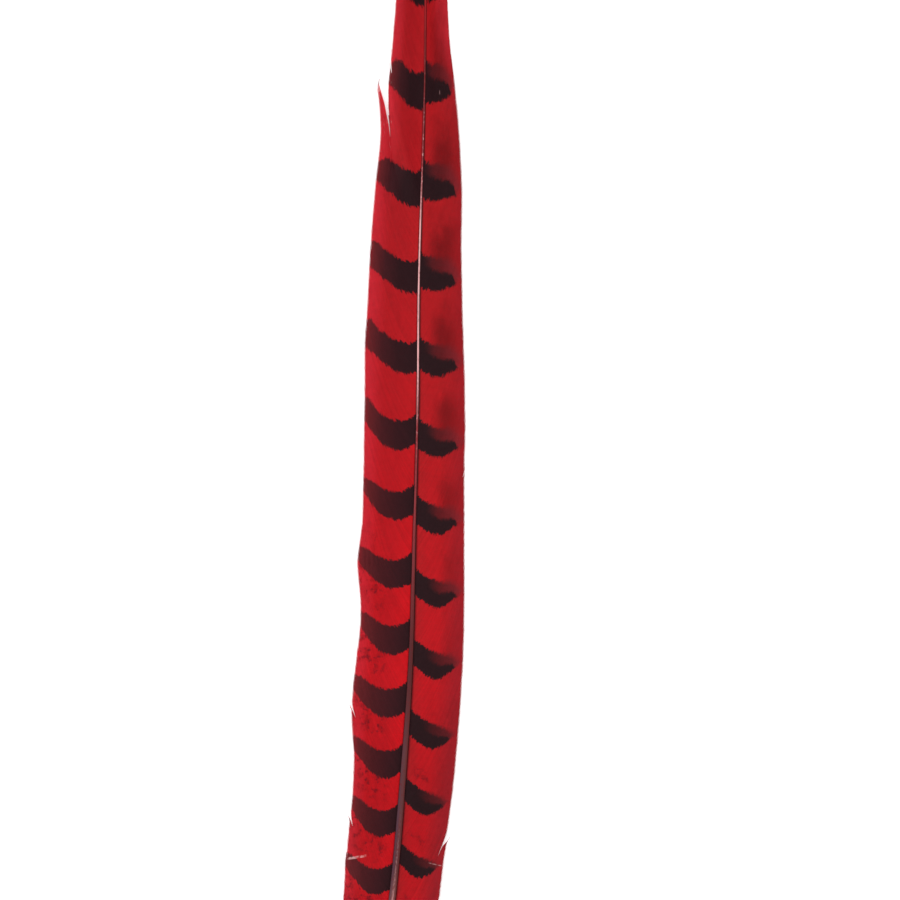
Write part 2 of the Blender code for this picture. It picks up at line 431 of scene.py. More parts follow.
def output(tree, kind, inputs=(), pick=0, **settings):
    """One output of a new node."""
    return Value(tree, node(tree, kind, inputs, **settings).outputs[pick])


def math_node(operation, *values):
    return output(tree_of(*values), "ShaderNodeMath", values, operation=operation)


def vector_node(operation, *values):
    return output(tree_of(*values), "ShaderNodeVectorMath", values, operation=operation)


def resized(vector, factor):
    return output(vector.tree, "ShaderNodeVectorMath", {"Vector": vector, "Scale": factor}, operation="SCALE")


def combined(x, y, z=0.0):
    return output(tree_of(x, y, z), "ShaderNodeCombineXYZ", (x, y, z))


def separated(vector):
    made = node(vector.tree, "ShaderNodeSeparateXYZ", (vector,))
    return [Value(vector.tree, socket) for socket in made.outputs]


def rise(value, low, high):
    """0 below low, 1 above high and a smooth rise between. It falls where low is the larger."""
    inputs = (value, low, high, 0.0, 1.0)
    return output(value.tree, "ShaderNodeMapRange", inputs, interpolation_type="SMOOTHSTEP")


def ranged(value, low, high, first, last):
    """first below low, last above high and an even change between."""
    return output(value.tree, "ShaderNodeMapRange", (value, low, high, first, last))


def held(value, margin):
    """The value, kept between margin and 1 - margin."""
    return output(value.tree, "ShaderNodeClamp", (value, margin, 1.0 - margin))


def noise(place, stretch, detail=2.0, roughness=0.5):
    """Noise with about one blotch to each unit of the stretched place."""
    place = vector_node("MULTIPLY", place, stretch)
    inputs = {"Vector": place, "Scale": 1.0, "Detail": detail, "Roughness": roughness}
    return output(place.tree, "ShaderNodeTexNoise", inputs, "Fac")


def new_tree(name, sockets):
    """(a geometry tree with a geometry input, the named inputs and a geometry output, its inputs by name)"""
    tree = bpy.data.node_groups.new(name, "GeometryNodeTree")
    tree.interface.new_socket("Geometry", in_out="OUTPUT", socket_type="NodeSocketGeometry")
    for label, kind in (("Geometry", "Geometry"), *sockets):
        tree.interface.new_socket(label, in_out="INPUT", socket_type="NodeSocket" + kind)
    given = tree.nodes.new("NodeGroupInput").outputs
    return tree, {label: Value(tree, given[label]) for label, _ in (("Geometry", None), *sockets)}


def realised(geometry):
    return output(geometry.tree, "GeometryNodeRealizeInstances", (geometry,))


def end_tree(geometry, finish):
    """Realises what the tree made, gives it its material and puts it out."""
    inputs = {"Geometry": realised(geometry), "Material": finish}
    finished = output(geometry.tree, "GeometryNodeSetMaterial", inputs)
    node(geometry.tree, "NodeGroupOutput", (finished,))


def stored(geometry, name, kind, domain, value):
    inputs = {"Geometry": geometry, "Name": name, "Value": value}
    return output(geometry.tree, "GeometryNodeStoreNamedAttribute", inputs, data_type=kind, domain=domain)


def named(tree, name, kind="FLOAT"):
    return output(tree, "GeometryNodeInputNamedAttribute", {"Name": name}, data_type=kind)


def moved(geometry, place):
    return output(geometry.tree, "GeometryNodeSetPosition", {"Geometry": geometry, "Position": place})


def numbered_points(tree, count, name):
    """count points at the origin, each with its number in a named attribute."""
    line = output(tree, "GeometryNodeMeshLine", {"Count": count, "Offset": (0.0, 0.0, 0.0)})
    return stored(line, name, "INT", "POINT", output(tree, "GeometryNodeInputIndex"))


def copies(points, form, **inputs):
    """form at every point, realised."""
    inputs = {"Points": points, "Instance": form, **inputs}
    return realised(output(points.tree, "GeometryNodeInstanceOnPoints", inputs))


def drawn(low, high, identity, seed):
    """A random value between low and high for each identity."""
    inputs = {2: low, 3: high, "ID": identity, "Seed": seed}
    return output(identity.tree, "FunctionNodeRandomValue", inputs, 1, data_type="FLOAT")


def grow(host, tree, values, name):
    """Runs a geometry tree on host with the named values and returns its result as a plain object."""
    modifier = host.modifiers.new(name, "NODES")
    modifier.node_group = tree
    for item in tree.interface.items_tree:
        if item.in_out == "INPUT" and item.name in values:
            modifier[item.identifier] = values[item.name]
    host.update_tag()
    bpy.context.view_layer.update()
    evaluated = host.evaluated_get(bpy.context.evaluated_depsgraph_get())
    mesh = bpy.data.meshes.new_from_object(evaluated)
    mesh.name = name
    bpy.data.objects.remove(host, do_unlink=True)
    return placed(mesh)


def placed(mesh):
    """A new object in the scene that wears the mesh."""
    made = bpy.data.objects.new(mesh.name, mesh)
    bpy.context.scene.collection.objects.link(made)
    return made


def attach(piece, node_name):
    """Ties a finished piece to the frame in place of a CAD node."""
    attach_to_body(piece, "root")
    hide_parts(node_name)


# ---------------------------------------------------------------- materials


def new_material(name, specular):
    """(a new material, its tree, its shader, the Object coordinates)"""
    material = bpy.data.materials.new(name)
    material.use_nodes = True
    tree = material.node_tree
    shader = tree.nodes["Principled BSDF"]
    shader.inputs["Specular IOR Level"].default_value = specular
    return material, tree, shader, output(tree, "ShaderNodeTexCoord", pick="Object")


def attribute(tree, name, pick="Fac"):
    return output(tree, "ShaderNodeAttribute", (), pick, attribute_name=name)


def blended(share, first, second):
    """second over first, by share. Each may be a colour or a node's output."""
    colours = [value if isinstance(value, Value) else (*value, 1.0) for value in (first, second)]
    return output(share.tree, "ShaderNodeMix", {0: share, 6: colours[0], 7: colours[1]}, 2, data_type="RGBA")


def ramp(value, stops):
    """A colour that changes with value through (position, colour) stops."""
    made = node(value.tree, "ShaderNodeValToRGB", (value,))
    elements = made.color_ramp.elements
    while len(elements) < len(stops):
        elements.new(0.5)
    for element, (position, colour) in zip(elements, stops):
        element.position = position
        element.color = (*colour, 1.0)
    return Value(value.tree, made.outputs[0])


def toned(colour, value):
    """The colour, made lighter or darker."""
    return output(colour.tree, "ShaderNodeHueSaturation", {"Value": value, "Color": colour})


def link(shader, **values):
    """Links values to the shader's inputs. An input's name has _ for each space."""
    for name, value in values.items():
        value.tree.links.new(value.socket, shader.inputs[name.replace("_", " ")])


def bumped(shader, height, strength, distance):
    inputs = {"Height": height, "Strength": strength, "Distance": distance}
    link(shader, Normal=output(height.tree, "ShaderNodeBump", inputs))


def left_dye(across, near_base, colours):
    """The left vane's red, palest at its outer edge: partly the dye, partly painted light where the edge turns
    towards the light.
    """
    upper = ramp(across, (
        (0.05, colours.red_root), (0.42, colours.red_middle), (0.60, colours.red_middle),
        (0.97, colours.red_edge),
    ))
    lower = ramp(across, (
        (0.05, colours.red_bright), (0.40, colours.red_glow), (0.70, colours.red_glow),
        (1.00, colours.red_edge),
    ))
    return blended(near_base, upper, lower)


def right_dye(across, station, near_base, gap, cloud, colours):
    """The right vane's red, with painted shade in a band just above each bar, where the vane slopes away from
    the light.
    """
    upper = ramp(across, (
        (0.05, colours.red_root), (0.45, colours.red_root), (0.85, colours.red_middle), (1.00, colours.red_rim),
    ))
    lower = ramp(across, (
        (0.05, colours.red_root), (0.25, colours.red_glow), (0.50, colours.red_glow), (0.84, colours.red_rim),
    ))
    top = rise(station, 0.338, 0.368)
    dye = blended(top * rise(across, 0.2, 0.9), blended(near_base, upper, lower), colours.red_edge)
    # Painted shade: a darker band just above each bar, weaker at the rim, towards the base and near the tip
    shade_band = rise(gap + (cloud * 0.5 - 0.25), 0.28, 0.68)
    start = ranged(station, 0.200, 0.290, 0.42, 0.08)
    inner = rise(across - start, 0.0, 0.36)
    outer = rise(across, 0.60, 0.95) * -0.7 + 1.0
    strength = (rise(station, 0.260, 0.165) * -0.72 + 1.0) * (top * -0.45 + 1.0)
    return blended(shade_band * inner * outer * strength, dye, colours.red_shade_and_mottle)


def left_bar(across, near_base, colours):
    """The left vane's bars thin out towards the edge, and are browner towards the base."""
    upper = ramp(across, (
        (0.38, colours.bar_core), (0.66, colours.bar_middle), (0.90, colours.bar_end),
        (1.00, colours.bar_faded),
    ))
    lower = ramp(across, (
        (0.00, colours.bar_core), (0.30, colours.bar_middle), (0.62, colours.bar_brown),
        (0.88, colours.bar_end), (1.00, colours.bar_faded),
    ))
    return blended(near_base, upper, lower)


def right_patch(across, level, station):
    """How far a right bar's upper, outer part turns to a thin red patch. level is -1 and 1 at its upper and
    lower edge.
    """
    start = ranged(station, 0.200, 0.345, 0.35, 0.07)
    border = across * 0.62 + (rise(across, 0.74, 0.92) * 1.25 - 0.42)
    thin_patch = rise(across - start, -0.14, 0.18) * rise(border - level, -0.14, 0.20)
    return thin_patch * ranged(station, 0.150, 0.225, 0.45, 1.0)


def right_bar(across, patch, colours):
    """The right vane's bars, dark with a thin red patch, fading out at their outer ends."""
    thin_patch = ramp(across, ((0.12, colours.bar_brown), (0.50, colours.bar_patch), (0.92, colours.bar_faded)))
    core = ramp(across, ((0.79, colours.bar_core), (0.92, colours.bar_patch), (1.00, colours.bar_faded)))
    return blended(patch, core, thin_patch)


def speck_zone(side, across, station, gap):
    """Where the dye is specked: below the left bars, and in the middle of the lowest red bands on the right."""
    if side == LEFT:
        start = ranged(station, 0.120, 0.200, 0.15, 0.50)
        return rise(across - start, -0.05, 0.20) * rise(gap, 0.85, 0.30) * rise(station, 0.235, 0.195)
    inner = rise(across, 0.12, 0.22) * rise(across, 0.60, 0.45)
    return inner * rise(gap, 0.45, 0.58) * rise(gap, 0.75, 0.65) * rise(station, 0.165, 0.150) * 0.6


def specked(place, colour, zone, colours):
    """Dark specks in loose clusters over a colour."""
    blotch = noise(place, (420.0, 330.0, 0.0))
    fine = noise(place, (1150.0, 950.0, 0.0), 1.5)
    colour = blended(rise(blotch, 0.46, 0.64) * zone * 0.5, colour, colours.red_shade_and_mottle)
    clustered = fine + (blotch * 0.9 - 0.45)
    return blended(rise(clustered, 0.57, 0.72) * zone * 0.65, colour, colours.speck)


def stroke(across, station, spot, size, slant):
    """1 on a short stroke: spot is (share across, station) and size is (half its length, half its width)."""
    aside = across - spot[0]
    level = aside * -slant + (station - spot[1])
    return rise(abs(aside), size[0], size[0] * 0.7) * rise(abs(level), size[1], size[1] * 0.4)


def dyed(side, across, station, near_base, bars, cloud, colours):
    """(the dye, the bars' colour, how far the point is in a bar). bars is (number, half thickness) there."""
    number, half = bars
    off = number - math_node("ROUND", number)
    inside = half - abs(off)
    if side == LEFT:
        dye, dark = left_dye(across, near_base, colours), left_bar(across, near_base, colours)
        return dye, dark, rise(inside, -0.010, 0.014)
    patch = right_patch(across, off / math_node("MAXIMUM", half, 0.02), station)
    softer = patch * (rise(across, 0.45, 0.92) * 0.09 + 0.022)
    dye = right_dye(across, station, near_base, math_node("FRACT", number), cloud, colours)
    return dye, right_bar(across, patch, colours), rise(inside, -0.010 - softer, softer + 0.014)


def vane_material(side, colours):
    """Dyed barbs with dark bars. marking holds the station, the bar's number and half its thickness."""
    material, tree, shader, place = new_material("left_barbs" if side == LEFT else "right_barbs", 0.12)
    across, tone = attribute(tree, "across"), attribute(tree, "tone")
    station, bar, half = separated(attribute(tree, "marking", "Vector"))
    along = combined(across, station)
    cloud = noise(place, (230.0, 110.0, 0.0), 3.0)
    grain = noise(place, (1100.0, 800.0, 0.0), 3.0)

    # Each barb's bars start a little off its neighbours'
    number = bar + (tone * 0.034 - 0.017 + (grain * 0.07 - 0.035))
    near_base = rise(station, 0.330, 0.150)
    dye, dark, mask = dyed(side, across, station, near_base, (number, half), cloud, colours)
    dye = blended(rise(cloud, 0.45, 0.75) * 0.18, dye, colours.red_shade_and_mottle)
    dye = specked(place, dye, speck_zone(side, across, station, math_node("FRACT", number)), colours)
    coloured = blended(mask, dye, dark)
    for spot, size, slant, strength in LEFT_SCUFFS if side == LEFT else RIGHT_SCUFFS:
        broken = stroke(across, station, spot, size, slant) * rise(grain, 0.32, 0.62) * strength
        coloured = blended(broken, coloured, colours.pale_mark)

    # The side that faces the table is paler, each barb has its own tone, and the roots are dark; on the right
    # vane the wider dark root band is also painted shadow of the shaft
    coloured = blended(attribute(tree, "underside") * 0.35, coloured, colours.red_edge)
    streak = noise(along, (3.0, 2600.0, 0.0), 1.0)
    mottle = noise(place, (900.0, 620.0, 0.0), 4.0, 0.7)
    value = (tone + streak + mottle * 2.4) * 0.15 + 0.640
    coloured = toned(coloured, rise(station, 0.175, 0.140) * -0.09 + value)
    # On the right vane this dark band is wider: painted shadow cast by the shaft's ridge
    rooted = rise(across, 0.0, 0.03 if side == LEFT else 0.065)
    link(shader, Base_Color=blended(rooted, colours.bar_core, coloured), Roughness=streak * 0.25 + 0.42)
    bumped(shader, noise(along, (180.0, 9000.0, 0.0)), 0.3, 0.00005)
    return material


def horn_by_station(station, colours):
    """The horn's colour along the shaft: pale quill, brown lower stretch, pale middle and dark tip."""
    return ramp(station / LENGTH, (
        (0.180, colours.horn_quill), (0.222, colours.horn_grey), (0.290, colours.horn_grey),
        (0.330, colours.horn_brown), (0.355, colours.horn_brown), (0.440, colours.horn_rose),
        (0.485, colours.horn_rose), (0.520, colours.horn_pale), (0.600, colours.horn_pale),
        (0.635, colours.horn_rose), (0.660, colours.horn_rose), (0.690, colours.horn_dark),
        (0.730, colours.red_middle),
    ))


def horn_material(colours):
    """The shaft. aside is -1 and 1 at the ridge's edges, and around is 0 on top and 0.5 underneath."""
    material, tree, shader, place = new_material("feather_horn", 0.2)
    station, aside, around = (attribute(tree, name) for name in ("station", "aside", "around"))
    fibres = noise(place, (7000.0, 90.0, 7000.0), 3.0)
    flecks = noise(place, (2500.0, 1100.0, 2500.0))
    # A painted highlight: a pale flecked streak along the ridge on the shaft's lower stretch
    highlight_streak = rise(abs(aside - 0.12), 0.32, 0.08) * rise(flecks, 0.40, 0.62) * rise(station, 0.135, 0.100)
    high_flecks = rise(flecks, 0.55, 0.68) * rise(station, 0.235, 0.250) * rise(station, 0.365, 0.325)
    colour = horn_by_station(station, colours)
    for share, layer in (
        # Painted sheen on the ridge's left flank
        (rise(aside, -0.05, -0.55) * rise(station, 0.170, 0.120) * 0.6, colours.horn_sheen),
        # Painted shade: the right flank, away from the light, is browner
        (rise(aside, 0.30, 0.70) * 0.6, colours.horn_fibres_and_shade),
        (rise(fibres, 0.45, 0.70) * 0.35, colours.horn_fibres_and_shade),
        (highlight_streak * 0.38, colours.horn_pale),
        (high_flecks * rise(abs(aside), 0.9, 0.5) * 0.6, colours.horn_pale),
        (rise(flecks, 0.44, 0.34) * 0.5, colours.horn_dark),
        # Painted shade darkens both edges of the ridge, where it drops to the vanes
        (rise(abs(aside), 0.78, 1.05) * rise(station, 0.060, 0.085) * 0.85, colours.bar_core),
        (rise(around, 0.28, 0.36), colours.horn_under),
        # Painted shade in the groove underneath
        (rise(around, 0.43, 0.47) * 0.5, colours.horn_fibres_and_shade),
    ):
        colour = blended(share, colour, layer)
    link(shader, Base_Color=colour, Roughness=fibres * 0.25 + 0.25)
    bumped(shader, fibres, 0.25, 0.00008)
    return material


def down_material(colours):
    """Down, redder towards the strands' tips."""
    material, tree, shader, place = new_material("down_fluff", 0.5)
    patchy = noise(place, (300.0, 300.0, 300.0))
    colour = blended(rise(attribute(tree, "across"), 0.0, 0.7), colours.down_pale, colours.down_red)
    colour = blended(patchy * 0.35, colour, colours.red_edge)
    colour = toned(colour, attribute(tree, "tone") * 0.3 + 0.85)
    link(shader, Base_Color=colour, Roughness=patchy * 0.2 + 0.6)
    shader.inputs["Sheen Weight"].default_value = 0.3
    return material


# ---------------------------------------------------------------- the shaft


def shaft_ring(station):
    """A section of the shaft: round at the quill, and with a grooved underside and a narrow ridge above it."""
    height, width = smooth(SHAFT_HEIGHT, station), smooth(SHAFT_WIDTH, station)
    ridge = min(smooth(RIDGE_WIDTH, station), width)
    rachis = (
        (0.10, 0.07), (0.28, 0.00), (0.44, 0.08), (0.50, 0.30), (0.49, 0.50), (0.44, 0.62), (0.48, 0.72),
        (0.50, 0.84), (0.40, 0.96), (0.15, 1.00),
    )
    blend = ease(DOWN_START, FLAT_START, station)
    half = []
    for i, (out, up) in enumerate(rachis):
        turn = math.pi * (i + 0.5) / len(rachis)
        wide = ridge if i >= 6 else width
        round_out, round_up = 0.5 * width * math.sin(turn), 0.5 - 0.5 * math.cos(turn)
        half.append((
            round_out + (out * wide - round_out) * blend,
            height * (round_up + (up - round_up) * blend),
        ))
    middle, base = side_bend(station), arch(station)
    points = half + [(-out, up) for out, up in reversed(half)]
    return [Vector((middle + out, station + SHIFT_Y, base + up)) for out, up in points]


def quill_rings():
    """The quill's rounded end and the small pit in it, from the pit's floor outwards."""
    full = shaft_ring(QUILL_TIP)
    middle = sum(full, Vector()) / len(full)
    rings = []
    for inward, station in ((0.06, 0.0016), (0.14, 0.0012), (0.18, 0.0001), (0.26, 0.0), (0.45, 0.0003),
                            (0.68, 0.0010), (0.86, 0.0021), (0.95, 0.0030)):
        rings.append([
            Vector((
                middle.x + (p.x - middle.x) * inward,
                SHIFT_Y + station,
                middle.z + (p.z - middle.z) * inward,
            ))
            for p in full
        ])
    return rings


def build_shaft(settings, colours):
    stations = spread(QUILL_TIP, LENGTH, 400)
    rings = quill_rings() + [shaft_ring(s) for s in stations]
    mesh = bmesh.new()
    station_layer = mesh.verts.layers.float.new("station")
    aside_layer = mesh.verts.layers.float.new("aside")
    around_layer = mesh.verts.layers.float.new("around")
    rows = []
    for ring in rings:
        row = []
        for i, point in enumerate(ring):
            vertex = mesh.verts.new(point)
            station = point.y - SHIFT_Y
            ridge = min(smooth(RIDGE_WIDTH, station), smooth(SHAFT_WIDTH, station))
            vertex[station_layer] = station
            vertex[aside_layer] = (point.x - side_bend(station)) / (0.5 * ridge)
            vertex[around_layer] = abs((i + 0.5) / len(ring) - 0.5)
            row.append(vertex)
        rows.append(row)
    for row, after in zip(rows, rows[1:]):
        for i in range(len(row)):
            j = (i + 1) % len(row)
            mesh.faces.new((row[i], row[j], after[j], after[i]))
    mesh.faces.new(rows[0][::-1])
    mesh.faces.new(rows[-1])
    bmesh.ops.recalc_face_normals(mesh, faces=mesh.faces[:])
    uv_layer = mesh.loops.layers.uv.new("OFBake")
    size = len(rings[0])
    order = {vertex: (r, i) for r, row in enumerate(rows) for i, vertex in enumerate(row)}
    for face in mesh.faces:
        columns = [order[loop.vert][1] for loop in face.loops]
        wraps = max(columns) == size - 1 and min(columns) == 0
        for loop in face.loops:
            r, i = order[loop.vert]
            column = size if wraps and i == 0 else i
            loop[uv_layer].uv = (0.01 + 0.98 * column / size, 0.01 + 0.98 * r / (len(rows) - 1))
    data = bpy.data.meshes.new("shaft_horn")
    mesh.to_mesh(data)
    mesh.free()
    data.shade_smooth()
    data.materials.append(horn_material(colours))
    attach(placed(data), "shaft")


# ---------------------------------------------------------------- the vanes


def reach_at(side, root, station, across, gaps):
    """How far from the shaft's middle a vane's outer edge is, for the barb with this root."""
    if side == RIGHT:
        return smooth(RIGHT_REACH, station)
    whole = smooth(LEFT_REACH, station)
    tear = gaps[-1][0]
    if root < tear:
        return whole + crease(station, across)
    leaning = max(ease(TEAR_OPENS, 1.0, across), ease(tear, tear + 0.012, root))
    return whole + (smooth(LEFT_TIP_REACH, station) - whole) * leaning


def crease(station, across):
    """How far out the left vane bulges below the fold in its outer half."""
    below = LEFT_CREASE - station
    if below < 0:
        return 0.0
    return CREASE_BULGE * ease(0.45, 0.95, across) * ease(0.0, 0.0004, below) * math.exp(-below / 0.009)


def unhooked(root, across, splits):
    """How far outwards a barb bends beside the small splits."""
    total = 0.0
    for at, opens, above, below, fade in splits:
        past = max((across - opens) / (1 - opens), 0.0)
        bend = above if root >= at else below
        total += bend * past**1.3 * math.exp(-abs(root - at) / fade)
    return total


def barb_point(side, root, across, inner, splits, gaps):
    """(point without its height, station, share of the way to the edge) of a point on a barb."""
    forward = BARB_START * across + (1 - BARB_START) * across**2
    station = root + smooth(BARB_SWEEP, root) * forward
    if side == LEFT and root < gaps[-1][0]:
        past = max((across - TEAR_OPENS) / (1 - TEAR_OPENS), 0.0)
        station += SLIVER_SWEEP * past**1.3 * math.exp((root - gaps[-1][0]) / SLIVER_FADE)
    edge = reach_at(side, root, station, across, gaps)
    outward = inner + (edge + TIP_EXTRA - inner) * across
    x = side_bend(station) + side * (outward + unhooked(root, across, splits))
    return x, station, outward / edge


def vane_height(root, station, across, crown):
    """Height of a vane: from the shaft's shoulder, over a low crown, down to the outer edge."""
    shoulder = arch(root) + 0.74 * smooth(SHAFT_HEIGHT, root)
    edge = max(smooth(EDGE_LIFT, station), 0.0) + 0.0002
    return shoulder + (edge - shoulder) * across**1.5 + crown * math.sin(math.pi * across)


def bar_marking(side, station, share):
    """(bar number, half the bar's thickness as a share of the spacing) at a point of a vane."""
    if side == LEFT:
        near_tip, bars, thickness = ease(0.235, 0.278, station), LEFT_BARS, LEFT_THICKNESS
        sways, tapers = (LEFT_SWAY_TIP, LEFT_SWAY_BASE), (LEFT_TAPER_TIP, LEFT_TAPER_BASE)
    else:
        near_tip, bars, thickness = (station - 0.165) / 0.175, RIGHT_BARS, RIGHT_THICKNESS
        near_tip = min(max(near_tip, 0.0), 1.0) ** (1.0 - 0.55 * ease(0.5, 0.8, share))
        sways, tapers = (RIGHT_SWAY_TIP, RIGHT_SWAY_BASE), (RIGHT_TAPER_TIP, RIGHT_TAPER_BASE)
    sway, taper = (
        near_tip * smooth(tip, share) + (1 - near_tip) * smooth(base, share) for tip, base in (sways, tapers)
    )
    if side == LEFT:
        hooked = ease(0.78, 0.93, share) * ease(0.235, 0.262, station) * ease(0.320, 0.295, station)
        sway, taper = sway - 0.0018 * hooked, taper + 0.32 * hooked
    else:
        lifted = ease(0.55, 1.0, share) * ease(0.325, 0.340, station)
        sway, taper = sway - 0.0008 * lifted, taper - 0.15 * lifted
    return smooth(bars, station + sway), 0.5 * smooth(thickness, station) * taper


def splits_of(side, spacing):
    """The side's splits, moved to lie between two barbs, and each gap's (root, share that it opens at)."""
    splits = LEFT_SPLITS if side == LEFT else RIGHT_SPLITS
    moved = [(between_barbs(split[0], spacing), *split[1:]) for split in splits]
    gaps = [(split[0], split[1]) for split in moved]
    if side == LEFT:
        gaps.append((between_barbs(LEFT_TEAR, spacing), TEAR_OPENS))
    return moved, gaps


def between_barbs(root, spacing):
    return VANE_START + round((root - VANE_START) / spacing) * spacing


def guide_roots(gaps):
    """Root stations of the guide's rows: a regular run, closer beside each gap, and a pair at it."""
    roots = spread(VANE_START, VANE_END, 640)
    for gap, _ in gaps:
        roots += [gap - 0.00001, gap + 0.00001]
        roots += [gap + side * 0.00025 * i for side in (-1, 1) for i in range(1, 9)]
    return sorted(roots)


def sheet(name, points, columns, places, side):
    """A grid of points as a mesh object facing up, with a map that holds each point's place on it."""
    faces = []
    for a in range(0, len(points) - columns, columns):
        for b in range(a, a + columns - 1):
            quad = (b, b + 1, b + columns + 1, b + columns)
            faces.append(quad if side == RIGHT else quad[::-1])
    mesh = bpy.data.meshes.new(name)
    mesh.from_pydata(points, [], faces)
    corners = np.empty(len(mesh.loops), np.int32)
    mesh.loops.foreach_get("vertex_index", corners)
    mesh.uv_layers.new(name="UVMap").uv.foreach_set("vector", np.array(places)[corners].ravel())
    return placed(mesh)


def vane_guide(side, crown, count):
    """The smooth sheet that a vane's barbs are laid on, with a map of (root, share across) and its markings.

    room is how far a barb may reach sideways before it crosses a gap, in widths of a barb.
    """
    spacing = (VANE_END - VANE_START) / count
    splits, gaps = splits_of(side, spacing)
    shares = spread(0.0, 1.0, 29)
    points, marking, places, room = [], [], [], []
    for root in guide_roots(gaps):
        inner = 0.40 * smooth(RIDGE_WIDTH, root)
        for across in shares:
            x, station, share = barb_point(side, root, across, inner, splits, gaps)
            points.append((x, station + SHIFT_Y, vane_height(root, station, across, crown)))
            marking.append((station, *bar_marking(side, station, share)))
            places.append(((root - VANE_START) / (VANE_END - VANE_START), across))
            nearest = [abs(root - gap) / spacing for gap, opens in gaps if across > opens - 0.03]
            room.append(min(nearest, default=9.0))
    made = sheet("vane_guide", points, len(shares), places, side)
    made.data.attributes.new("marking", "FLOAT_VECTOR", "POINT").data.foreach_set("vector", np.ravel(marking))
    made.data.attributes.new("room", "FLOAT", "POINT").data.foreach_set("value", room)
    return made


def barb_form():
    """One straight barb, 1 long in X and 2 wide in Y, with a ridge about 1 high and its underside marked."""
    section = ((-1.0, 0.1), (0.2, 1.0), (1.0, 0.45), (0.1, -0.4))
    stations = [i / 12 for i in range(12)] + [0.960, 0.985, 1.0]
    widths = [1.0] * 12 + [0.95, 0.6, 0.14]
    points = [
        (x, wide * across, up * (1.25 - 0.6 * x) * (0.4 + 0.6 * wide))
        for x, wide in zip(stations, widths)
        for across, up in section
    ]
    faces, under = [], []
    for row in range(len(stations) - 1):
        for i in range(4):
            a, b = row * 4 + i, row * 4 + (i + 1) % 4
            faces.append((a, b, b + 4, a + 4))
            under.append(1.0 if i >= 2 else 0.0)
    last = 4 * (len(stations) - 1)
    faces += [(3, 2, 1, 0), (last, last + 1, last + 2, last + 3)]
    under += [0.0, 0.0]
    mesh = bpy.data.meshes.new("barb_form")
    mesh.from_pydata(points, [], faces)
    mesh.attributes.new("underside", "FLOAT", "FACE").data.foreach_set("value", under)
    return placed(mesh)


def on_guide(guide, place, value, kind="FLOAT_VECTOR"):
    """A value of the guide sheet read at a place on its map."""
    own_map = named(guide.tree, "UVMap", "FLOAT_VECTOR")
    inputs = {"Mesh": guide, "Value": value, "UV Map": own_map, "Sample UV": place}
    return output(guide.tree, "GeometryNodeSampleUVSurface", inputs, data_type=kind)


def barb_tree():
    """Lays copies of one barb side by side on the guide sheet that the modifier's object holds."""
    tree, given = new_tree("Barb Vane", (
        ("Barb Form", "Object"), ("Barbs", "Int"), ("Overlap", "Float"), ("Thickness", "Float"),
        ("Wave", "Float"), ("Raggedness", "Float"), ("Loose Base", "Float"), ("Seed", "Int"),
        ("Finish", "Material"),
    ))
    guide = given["Geometry"]
    form = output(tree, "GeometryNodeObjectInfo", {"Object": given["Barb Form"]}, "Geometry")
    barbs = copies(numbered_points(tree, given["Barbs"], "barb"), form)
    barb = named(tree, "barb", "INT")
    tone = drawn(0.0, 1.0, barb, given["Seed"])
    sway = drawn(-1.0, 1.0, barb, given["Seed"] + 1.0)
    short = drawn(0.0, 1.0, barb, given["Seed"] + 2.0)
    x, y, z = separated(output(tree, "GeometryNodeInputPosition"))

    # Where on the guide each point of a barb goes. Its sides stop short of a gap, and the lowest barbs stray
    middle = barb + 0.5
    own_place = combined(middle / given["Barbs"], held(x, MAP_MARGIN))
    room = on_guide(guide, own_place, named(tree, "room"), "FLOAT")
    half_width = math_node("MINIMUM", given["Overlap"] * 0.5, room)
    root = (y * (half_width * 0.98) + middle) / given["Barbs"]
    loose = rise(root, LOOSE_SHARE, 0.0) * given["Loose Base"]
    stray = loose * sway * math_node("POWER", x, 2.0)
    root = held(root + stray * LOOSE_STRAY, MAP_MARGIN)
    shorter = short * (given["Raggedness"] + loose * LOOSE_SHORTER)
    across = held(x * (1.0 - shorter), MAP_MARGIN)
    place = combined(root, across)

    # Its height over the guide: its own section, slow waves that grow outwards, and loose barbs that lift
    wave = noise(place, (38.0, 0.7, 0.0)) * given["Wave"] * math_node("POWER", across, 1.5)
    lift = z * given["Thickness"] + wave + loose * tone * (across * LOOSE_LIFT)

    shape = stored(barbs, "across", "FLOAT", "POINT", across)
    shape = stored(shape, "tone", "FLOAT", "POINT", tone)
    marking = on_guide(guide, place, named(tree, "marking", "FLOAT_VECTOR"))
    shape = stored(shape, "marking", "FLOAT_VECTOR", "POINT", marking)
    map_x = (middle + y * 0.47) / given["Barbs"]
    map_y = named(tree, "underside") * 0.5 + (x * 0.485 + 0.005)
    shape = stored(shape, "OFBake", "FLOAT2", "CORNER", combined(map_x, map_y))
    ground = on_guide(guide, place, output(tree, "GeometryNodeInputPosition"))
    up = on_guide(guide, place, output(tree, "GeometryNodeInputNormal"))
    end_tree(moved(shape, vector_node("ADD", ground, resized(up, lift))), given["Finish"])
    return tree


def build_vanes(shape, colours):
    form, tree = barb_form(), barb_tree()
    count = round((VANE_END - VANE_START) / shape.barb_spacing)
    for side, name, seed in ((LEFT, "left_vane", 7), (RIGHT, "right_vane", 11)):
        made = grow(vane_guide(side, shape.crown, count), tree, {
            "Barb Form": form,
            "Barbs": count,
            "Overlap": shape.barb_overlap,
            "Thickness": shape.barb_thickness,
            "Wave": shape.wave,
            "Raggedness": shape.raggedness,
            "Loose Base": 1.0,
            "Seed": seed,
            "Finish": vane_material(side, colours),
        }, name + "_barbs")
        attach(made, name)
    bpy.data.objects.remove(form, do_unlink=True)


# ---------------------------------------------------------------- the down


